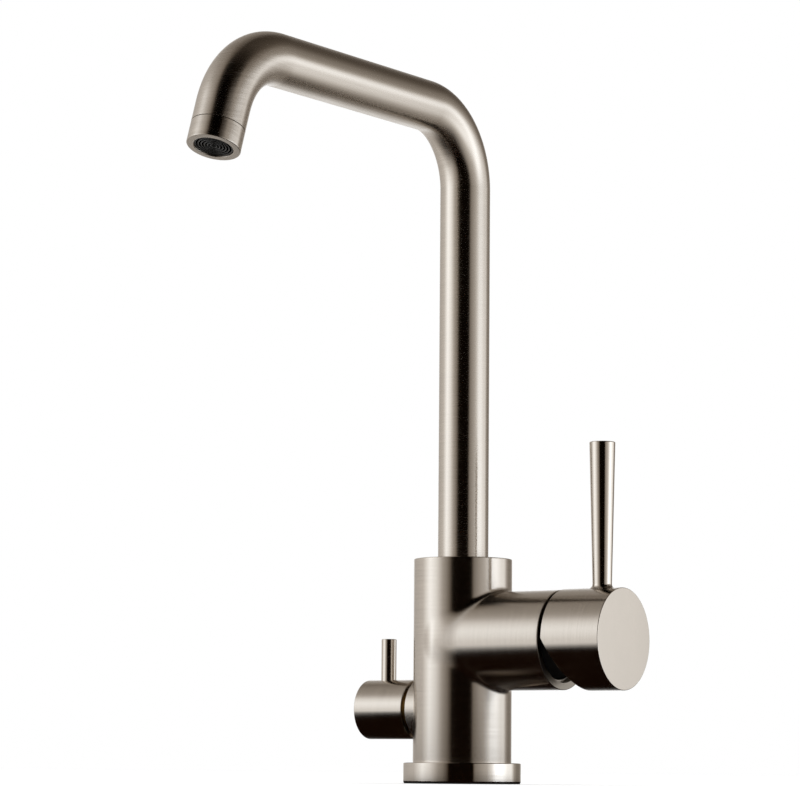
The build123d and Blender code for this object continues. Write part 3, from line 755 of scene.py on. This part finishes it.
off_plumb = math.pi / 2 - OUTLET_ANGLE
outlet_direction = Vector((0, -math.cos(OUTLET_ANGLE), -math.sin(OUTLET_ANGLE)))
outlet_centre = Vector((0, corner_y, arm_height)) + outlet_direction * outlet_run
outlet_place = Matrix.Translation(outlet_centre) @ Matrix.Rotation(-off_plumb, 4, "X")
top = COLLAR_LENGTH + THREAD_LENGTH
corners = [
    (COLLAR_BORE, 0),
    (TUBE_RADIUS, 0),
    (TUBE_RADIUS, COLLAR_LENGTH),
    (THREAD_RADIUS, COLLAR_LENGTH),
    (THREAD_RADIUS, top),
    (COLLAR_BORE, top),
]
shape = spin_once(outline_mesh(corners, {0: BORE_EDGE, 1: LIP_EDGE, 2: SEAM_EDGE}, closed=True))
bmesh.ops.transform(shape, matrix=outlet_place, verts=shape.verts[:])


def round_the_outlet(tree, place):
    upright = add_node(
        tree, "ShaderNodeMapping", inputs={"Vector": place, "Rotation": (off_plumb, 0, 0)}
    )
    return brush_lines(tree, upright, "Z")


down_the_outlet = steady((0.05, *outlet_direction.yz))
collar_nickel = brushed_nickel(
    "nickel_turned_collar", round_the_outlet, down_the_outlet, roughness=0.22, depth=0.6
)
finish_piece("aerator_collar_turned", shape, "spout", ["aerator_collar"], collar_nickel)

# %% [markdown]
# Up the outlet sits the aerator's black insert: thin ribs that stand in rings, held by one
# bar across them, with the water leaving through the slots between. The ribs' tips are
# rounded, because a mould needs that, and each catches the light as a fine arc. A rib is a
# short upright line spun round, and a modifier joins the bar to them all.

# %% Aerator insert
INSERT_PLAY, INSERT_LOW, INSERT_HIGH = 0.05, 0.6, 6.55
RIB_COUNT, RIB_HALF, RIB_TIP = 6, 0.36, 0.3
# The outermost rib runs on to the rim, which is this share of a pitch past its middle.
RIM_SHARE = 0.4
BAR_HALF, BAR_SETBACK, BAR_INSET = 0.8, 1.5, 0.01
RIB_STEPS = 96

INSERT_RADIUS = COLLAR_BORE - INSERT_PLAY
pitch = INSERT_RADIUS / (RIB_COUNT + RIM_SHARE)
insert = bmesh.new()
for count in range(RIB_COUNT + 1):
    middle = pitch * count
    inner = middle - RIB_HALF if count else 0
    outer = INSERT_RADIUS if count == RIB_COUNT else middle + RIB_HALF
    corners = [(inner, INSERT_LOW), (outer, INSERT_LOW), (outer, INSERT_HIGH), (inner, INSERT_HIGH)]
    rounding = {0: RIB_TIP, 1: RIB_TIP} if count else {1: RIB_TIP}
    add_shape(insert, spin_once(outline_mesh(corners, rounding, closed=count > 0), RIB_STEPS))
bar = bmesh.new()
bmesh.ops.create_cube(bar, size=2)
bar_depth = INSERT_HIGH - INSERT_LOW - BAR_SETBACK
size = (INSERT_RADIUS - RIB_HALF, BAR_HALF, bar_depth / 2)
bmesh.ops.scale(bar, vec=size, verts=bar.verts[:])
bar_middle = INSERT_HIGH - BAR_INSET - bar_depth / 2
bmesh.ops.translate(bar, vec=(0, 0, bar_middle), verts=bar.verts[:])
insert = boolean(insert, [("UNION", bar)])
bmesh.ops.transform(insert, matrix=outlet_place, verts=insert.verts[:])
finish_piece("aerator_insert_moulded", insert, "spout", ["aerator_insert"], black_acetal)

# %% [markdown]
# The mixing knob is a cup turned from bar, with its back edge cut away at a slant over the
# lower half. The cut makes the room that the knob needs when it tilts. The cup is spun
# first, and then the corners of its back edge slide outwards, further the lower they sit.

# %% Mixing knob
KNOB_BACK, KNOB_WALL, KNOB_FRONT, KNOB_EDGE = 60.3, 3.8, 6.0, 0.35
BOSS_RADIUS, BOSS_BORE, BOSS_START = 8.5, 5.75, 75.5
RELIEF_SLOPE = math.tan(math.radians(27.9))

knob_high = mm_box("lever_knob")[1]
knob_radius, knob_end = knob_high.y, knob_high.x
bore, floor_at = knob_radius - KNOB_WALL, knob_end - KNOB_FRONT
corners = [
    (0, floor_at),
    (BOSS_BORE, floor_at),
    (BOSS_BORE, BOSS_START),
    (BOSS_RADIUS, BOSS_START),
    (BOSS_RADIUS, floor_at),
    (bore, floor_at),
    (bore, KNOB_BACK),
    (knob_radius, KNOB_BACK),
    (knob_radius, knob_end),
    (0, knob_end),
]
shape = spin_once(outline_mesh(corners, {6: KNOB_EDGE, 7: KNOB_EDGE, 8: KNOB_EDGE}, closed=False))
lay_along_x(shape, BRANCH_HEIGHT)
for vert in shape.verts:
    drop = BRANCH_HEIGHT - vert.co.z
    if vert.co.x < KNOB_BACK + 2 * KNOB_EDGE and drop > 0:
        vert.co.x += drop * RELIEF_SLOPE
finish_piece("lever_knob_turned", shape, "lever", ["lever_knob"], branch_nickel)

# %% [markdown]
# The lever is a slim cone, thicker at its tip, and it flares where it meets the knob. The
# foot of the spun cone is let down onto the knob corner by corner, so the joint follows the
# knob's curve and no gap or step is left.

# %% Mixing lever
TIP_RADIUS, NECK_RADIUS, TIP_EDGE = 6.3, 4.7, 0.5
FLARE = 1.5
# The flare's hollow curve: how far out and how far up, as shares of the flare.
FLARE_CURVE = [(1.0, 0.0), (0.45, 0.3), (0.12, 0.7), (0.0, 1.3)]
LEVER_STEPS = 128

lever_low, lever_high = mm_box("lever_pin")
lever_x = (lever_low.x + lever_high.x) / 2
seat = BRANCH_HEIGHT + knob_radius
flare_height = FLARE_CURVE[-1][1] * FLARE
flare = [(NECK_RADIUS + out * FLARE, seat + up * FLARE) for out, up in FLARE_CURVE]
corners = [(0, seat), *flare, (TIP_RADIUS, lever_high.z), (0, lever_high.z)]
shape = spin_once(outline_mesh(corners, {5: TIP_EDGE}, closed=False), LEVER_STEPS)
for vert in shape.verts:
    share = max(0.0, 1 - (vert.co.z - seat) / flare_height)
    side = min(abs(vert.co.y), knob_radius)
    vert.co.z += share * (math.sqrt(knob_radius**2 - side**2) - knob_radius)
bmesh.ops.translate(shape, vec=(lever_x, 0, 0), verts=shape.verts[:])
lever_nickel = brushed_nickel(
    "nickel_satin_levers", round_z, up_the_column, roughness=0.17, depth=0.5, contrast=0.08
)
finish_piece("lever_pin_turned", shape, "lever", ["lever_pin"], lever_nickel)

# %% [markdown]
# The small valve has a knob of its own, a plain cup with a short pin. It is turned like the
# large one, and its open back shows the brass neck of the valve through a narrow gap.

# %% Valve knob and its pin
VALVE_WALL, VALVE_CAVITY, VALVE_EDGE, VALVE_BACK_EDGE = 3.4, 10.5, 0.6, 0.3
PIN_EDGE, PIN_STEPS = 0.35, 96

valve_low, valve_high = mm_box("valve_knob")
valve_back, valve_end = -valve_high.x, -valve_low.x
valve_radius = valve_high.y
corners = [
    (0, valve_back + VALVE_CAVITY),
    (valve_radius - VALVE_WALL, valve_back + VALVE_CAVITY),
    (valve_radius - VALVE_WALL, valve_back),
    (valve_radius, valve_back),
    (valve_radius, valve_end),
    (0, valve_end),
]
rounding = {2: VALVE_BACK_EDGE, 3: VALVE_BACK_EDGE, 4: VALVE_EDGE}
shape = spin_once(outline_mesh(corners, rounding, closed=False))
lay_along_x(shape, STUB_HEIGHT, towards=-1)
finish_piece("valve_knob_turned", shape, "valve_handle", ["valve_knob"], branch_nickel)

pin_low, pin_high = mm_box("valve_lever_pin")
pin_radius, pin_x = pin_high.y, (pin_low.x + pin_high.x) / 2
pin_seat = STUB_HEIGHT + valve_radius
corners = [(0, pin_seat), (pin_radius, pin_seat), (pin_radius, pin_high.z), (0, pin_high.z)]
shape = spin_once(outline_mesh(corners, {2: PIN_EDGE}, closed=False), PIN_STEPS)
for vert in shape.verts:
    if vert.co.z < pin_seat + 1:
        side = min(abs(vert.co.y), valve_radius)
        vert.co.z += math.sqrt(valve_radius**2 - side**2) - valve_radius
bmesh.ops.translate(shape, vec=(pin_x, 0, 0), verts=shape.verts[:])
finish_piece(
    "valve_lever_pin_turned", shape, "valve_handle", ["valve_lever_pin"], lever_nickel
)

# %% [markdown]
# The studio. A satin metal shows only what stands round it, so the world is drawn as a photo
# studio seen from the tap. A tall soft box stands on each side and a narrow one behind, a black
# flag hangs from floor to ceiling where the camera is, and a second flag leans over the tap from
# the front. The soft boxes' strong light is a band, brightest a little above the horizon. Above
# and below it the walls are evenly lit, and then they fade. Only glossy rays see all this. The
# camera sees plain white, and matt surfaces are lit by an even white sky.

# %% Studio plan
# Degrees round from the camera's direction, positive to the picture's right, and light.
ROUND_THE_TAP = [
    (-180, 1.45),
    (-169, 0.85),
    (-155, 0.50),
    (-108, 0.80),
    (-95, 1.25),
    (-84, 1.65),
    (-66, 1.25),
    (-48, 0.54),
    (-38, 0.34),
    (-30, 0.13),
    (-25.5, 0.003),
    (21, 0.003),
    (25.5, 0.32),
    (50, 0.74),
    (60, 1.22),
    (70, 1.98),
    (85, 1.98),
    (100, 1.45),
    (113, 1.30),
    (124, 0.50),
    (134, 0.28),
    (150, 0.24),
    (165, 0.45),
    (180, 1.45),
]
# Light up to this is the walls' own, and only what is over it is the soft boxes' band.
EVEN_LIGHT = 0.72
# How high a direction points, and how much of a soft box's own light is left there.
BAND_OF_LIGHT = [
    (-0.62, 0.0),
    (-0.36, 0.90),
    (-0.20, 0.80),
    (-0.10, 0.90),
    (0.0, 1.35),
    (0.12, 1.50),
    (0.24, 0.90),
    (0.40, 0.10),
    (0.48, 0.0),
]
# How high a direction points, and how brightly the walls are lit there.
UP_THE_WALL = [
    (-1.0, 0.30),
    (-0.85, 0.60),
    (-0.60, 1.0),
    (0.30, 1.0),
    (0.38, 0.84),
    (0.50, 0.60),
    (0.60, 0.50),
    (0.70, 0.46),
    (0.80, 0.37),
    (0.88, 0.22),
    (1.0, 0.14),
]
# Towards the picture's right the whole room sinks by TILT, and its upper part by SLOPE more.
SLOPE, TILT = 0.4, 0.09
# Where the leaning flag is, how far it reaches and how little light it lets through.
FLAG_DIRECTION = Vector((0.524, 0.233, 0.819))
FLAG_EDGE, FLAG_CORE = math.cos(math.radians(37)), math.cos(math.radians(25))
FLAG_LIGHT = 0.03
# The dim parts of the room are a little warmer than the soft boxes, by these powers.
RED_POWER, BLUE_POWER = 0.92, 1.09
SKY_LIGHT = 0.85
WHITE = (1, 1, 1, 1)
print("studio lit at", len(ROUND_THE_TAP), "places round the tap")

# %% [markdown]
# Each list above becomes a ramp: a curve of light over a direction's azimuth or height. The
# ramps are multiplied and added the way that the lamps and the walls of a studio are.

# %% World
CAMERA_AZIMUTH = math.atan2(eye.y, eye.x)
RAMP_TOP = 2.0


def ramp(tree, source, stops, low, high):
    """Light between (place, light) stops, up to RAMP_TOP."""
    span = {"From Min": low, "From Max": high}
    share = add_node(tree, "ShaderNodeMapRange", inputs={"Value": source, **span})
    curve = add_node(tree, "ShaderNodeValToRGB", inputs={"Fac": share})
    elements = curve.color_ramp.elements
    for index, (place, light) in enumerate(stops):
        position = (place - low) / (high - low)
        grey = light / RAMP_TOP
        element = elements[index] if index < 2 else elements.new(position)
        element.position = position
        element.color = (grey, grey, grey, 1)
    return add_node(tree, "ShaderNodeMath", {"operation": "MULTIPLY"}, {0: curve, 1: RAMP_TOP})


world = bpy.data.worlds.new("studio")
bpy.context.scene.world = world
world.use_nodes = True
# A lamp sample would see the plain sky in place of the studio, so rays find the world alone.
world.cycles.sampling_method = "NONE"
tree = world.node_tree
tree.nodes.clear()
direction = add_node(tree, "ShaderNodeTexCoord").outputs["Generated"]
# Turned so that +X points at the camera and +Y at the picture's right.
faced = add_node(
    tree, "ShaderNodeMapping", inputs={"Vector": direction, "Rotation": (0, 0, -CAMERA_AZIMUTH)}
)
parts = add_node(tree, "ShaderNodeSeparateXYZ", inputs={"Vector": faced}).outputs
azimuth = add_node(tree, "ShaderNodeMath", {"operation": "ARCTAN2"}, {0: parts["Y"], 1: parts["X"]})
stops = [(math.radians(degrees), light) for degrees, light in ROUND_THE_TAP]
wall = ramp(tree, azimuth, stops, -math.pi, math.pi)
above = add_node(tree, "ShaderNodeMath", {"operation": "MAXIMUM"}, {0: parts["Z"], 1: 0.0})
sink = add_node(tree, "ShaderNodeMath", {"operation": "MULTIPLY_ADD"}, {0: above, 1: SLOPE, 2: TILT})
height = add_node(
    tree, "ShaderNodeMath", {"operation": "MULTIPLY_ADD"}, {0: parts["Y"], 1: sink, 2: parts["Z"]}
)
band = ramp(tree, height, BAND_OF_LIGHT, -1, 1)
fade = ramp(tree, height, UP_THE_WALL, -1, 1)
even = add_node(tree, "ShaderNodeMath", {"operation": "MINIMUM"}, {0: wall, 1: EVEN_LIGHT})
own = add_node(tree, "ShaderNodeMath", {"operation": "SUBTRACT"}, {0: wall, 1: even})
lit = add_node(tree, "ShaderNodeMath", {"operation": "MULTIPLY_ADD"}, {0: own, 1: band, 2: even})
room = add_node(tree, "ShaderNodeMath", {"operation": "MULTIPLY"}, {0: lit, 1: fade})
lean = add_node(
    tree, "ShaderNodeVectorMath", {"operation": "DOT_PRODUCT"}, {0: faced, 1: FLAG_DIRECTION}
).outputs["Value"]
flag = {"From Min": FLAG_EDGE, "From Max": FLAG_CORE, "To Min": 1.0, "To Max": FLAG_LIGHT}
passed = add_node(
    tree, "ShaderNodeMapRange", {"interpolation_type": "SMOOTHSTEP"}, {"Value": lean, **flag}
)
studio = add_node(tree, "ShaderNodeMath", {"operation": "MULTIPLY"}, {0: room, 1: passed})
red = add_node(tree, "ShaderNodeMath", {"operation": "POWER"}, {0: studio, 1: RED_POWER})
blue = add_node(tree, "ShaderNodeMath", {"operation": "POWER"}, {0: studio, 1: BLUE_POWER})
tint = add_node(tree, "ShaderNodeCombineColor", inputs={"Red": red, "Green": studio, "Blue": blue})
reflected = add_node(tree, "ShaderNodeBackground", inputs={"Color": tint})
sky = add_node(tree, "ShaderNodeBackground", inputs={"Color": WHITE, "Strength": SKY_LIGHT})
white = add_node(tree, "ShaderNodeBackground", inputs={"Color": WHITE, "Strength": 1.0})
path = add_node(tree, "ShaderNodeLightPath").outputs
inside = add_node(tree, "ShaderNodeMixShader", inputs={0: path["Is Glossy Ray"], 1: sky, 2: reflected})
seen = add_node(
    tree,
    "ShaderNodeMath",
    {"operation": "MAXIMUM"},
    {0: path["Is Camera Ray"], 1: path["Is Transmission Ray"]},
)
shown = add_node(tree, "ShaderNodeMixShader", inputs={0: seen, 1: inside, 2: white})
add_node(tree, "ShaderNodeOutputWorld", inputs={"Surface": shown})
print("world of", len(tree.nodes), "nodes")

# %% [markdown]
# The floor is a plain pale sheet. The camera sees a little light of its own added to it, so
# it turns white like the sky behind it and still keeps the soft shadow under the base.

# %% Floor
FLOOR_SIZE = 12.0
FLOOR_GLOW = 0.35

paper, tree, shader = new_material("matt_white_paper")
seen = add_node(tree, "ShaderNodeLightPath").outputs["Is Camera Ray"]
glow = add_node(tree, "ShaderNodeMath", {"operation": "MULTIPLY"}, {0: seen, 1: FLOOR_GLOW})
feed(tree, shader, {"Base Color": linear("#F4F4F4"), "Roughness": 0.9})
feed(tree, shader, {"Emission Color": WHITE, "Emission Strength": glow})
shape = bmesh.new()
bmesh.ops.create_grid(shape, x_segments=1, y_segments=1, size=FLOOR_SIZE / 2)
floor = as_object(shape, "floor")
dress(floor, paper)
floor.visible_glossy = False
print("floor", FLOOR_SIZE, "m wide")

# %% [markdown]
# The undersides of the knobs and of the branch are black in a picture like this, because
# a round black cloth lies on the floor in front of the column and under both knobs, while the
# arm and the outlet, higher up, look past it onto pale paper. The cloth thins out towards its
# edge, so its reflection has no hard line. It is seen by reflections alone, so the floor
# stays white.

# %% Black cloth in front of the column
CLOTH_RADIUS = 450 * MM
CLOTH_PLACE = Vector((20, -60, -0.5)) * MM
CLOTH_SIDES = 96
# Millimetres from the middle of the cloth, and how thick it is there.
CLOTH = [(0, 1.0), (120, 1.0), (180, 0.80), (240, 0.52), (300, 0.26), (370, 0.10), (450, 0.0)]

black_felt, tree, shader = new_material("black_felt")
place = add_node(tree, "ShaderNodeTexCoord").outputs["Object"]
from_middle = add_node(tree, "ShaderNodeVectorMath", {"operation": "LENGTH"}, {0: place})
stops = [(far * MM, felt) for far, felt in CLOTH]
thickness = ramp(tree, from_middle.outputs["Value"], stops, 0, CLOTH_RADIUS)
feed(tree, shader, {"Base Color": linear("#1A0D06"), "Roughness": 1.0})
feed(tree, shader, {"Specular IOR Level": 0.0, "Alpha": thickness})
shape = bmesh.new()
bmesh.ops.create_circle(shape, cap_ends=True, radius=CLOTH_RADIUS, segments=CLOTH_SIDES)
cloth = as_object(shape, "black_cloth")
cloth.location = CLOTH_PLACE
dress(cloth, black_felt)
cloth.visible_camera = False
cloth.visible_diffuse = False
cloth.visible_shadow = False
print("cloth", round(2 * CLOTH_RADIUS / MM), "mm across")
